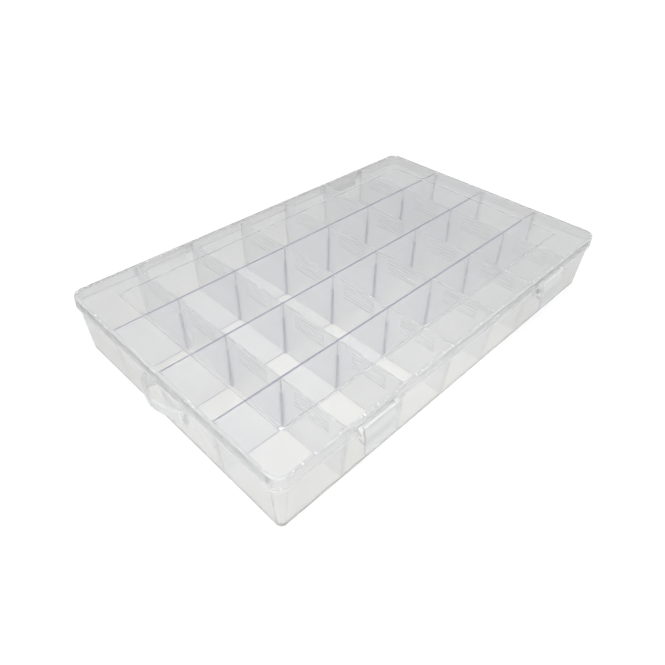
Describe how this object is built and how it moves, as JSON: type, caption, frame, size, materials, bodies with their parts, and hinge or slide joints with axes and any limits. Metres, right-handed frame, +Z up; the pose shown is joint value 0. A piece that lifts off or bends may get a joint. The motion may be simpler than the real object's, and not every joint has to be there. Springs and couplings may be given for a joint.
{
  "type": "embroidery thread box",
  "caption": "Flat clear plastic organiser for embroidery thread: a hinged lid with snap latches over a grid of compartments made by removable dividers, and a hanging loop on one end.",
  "frame": {"origin": "middle of the tray's flat underside", "axes": "+X along the long side, away from the hanging loop; +Y towards the hinges; +Z up through the lid"},
  "size_m": [0.3518, 0.2274, 0.0495],
  "materials": {
    "tray_plastic": "clear moulded plastic, polished",
    "lid_plastic": "clear moulded plastic, polished",
    "latch_plastic": "clear moulded plastic, polished",
    "long_divider_plastic": "clear plastic with a faint violet-blue tint",
    "short_divider_plastic": "clear moulded plastic, slightly cloudy"
  },
  "bodies": {
    "base": {"base_tray": "tray_plastic", "long_divider_front": "long_divider_plastic", "long_divider_middle": "long_divider_plastic", "long_divider_back": "long_divider_plastic", "short_divider_a1": "short_divider_plastic", "short_divider_a2": "short_divider_plastic", "short_divider_a3": "short_divider_plastic", "short_divider_a4": "short_divider_plastic", "short_divider_a5": "short_divider_plastic", "short_divider_a6": "short_divider_plastic", "short_divider_b1": "short_divider_plastic", "short_divider_b2": "short_divider_plastic", "short_divider_b3": "short_divider_plastic", "short_divider_b4": "short_divider_plastic", "short_divider_b5": "short_divider_plastic", "short_divider_b6": "short_divider_plastic", "short_divider_c1": "short_divider_plastic", "short_divider_c2": "short_divider_plastic", "short_divider_c3": "short_divider_plastic", "short_divider_c4": "short_divider_plastic", "short_divider_c5": "short_divider_plastic", "short_divider_c6": "short_divider_plastic", "short_divider_d1": "short_divider_plastic", "short_divider_d2": "short_divider_plastic", "short_divider_d3": "short_divider_plastic", "short_divider_d4": "short_divider_plastic", "short_divider_d5": "short_divider_plastic", "short_divider_d6": "short_divider_plastic"},
    "lid": {"lid": "lid_plastic"},
    "latch_left": {"latch_left": "latch_plastic"},
    "latch_right": {"latch_right": "latch_plastic"}
  },
  "joints": [
    {"name": "lid_hinge", "type": "hinge", "parent": "base", "child": "lid", "pos_m": [0, 0.1109, 0.0403], "axis": [-1, 0, 0], "range_deg": [0, 180]},
    {"name": "latch_left_hinge", "type": "hinge", "parent": "lid", "child": "latch_left", "pos_m": [-0.098, -0.1093, 0.0408], "axis": [-1, 0, 0], "range_deg": [0, 110]},
    {"name": "latch_right_hinge", "type": "hinge", "parent": "lid", "child": "latch_right", "pos_m": [0.098, -0.1093, 0.0408], "axis": [-1, 0, 0], "range_deg": [0, 110]}
  ]
}
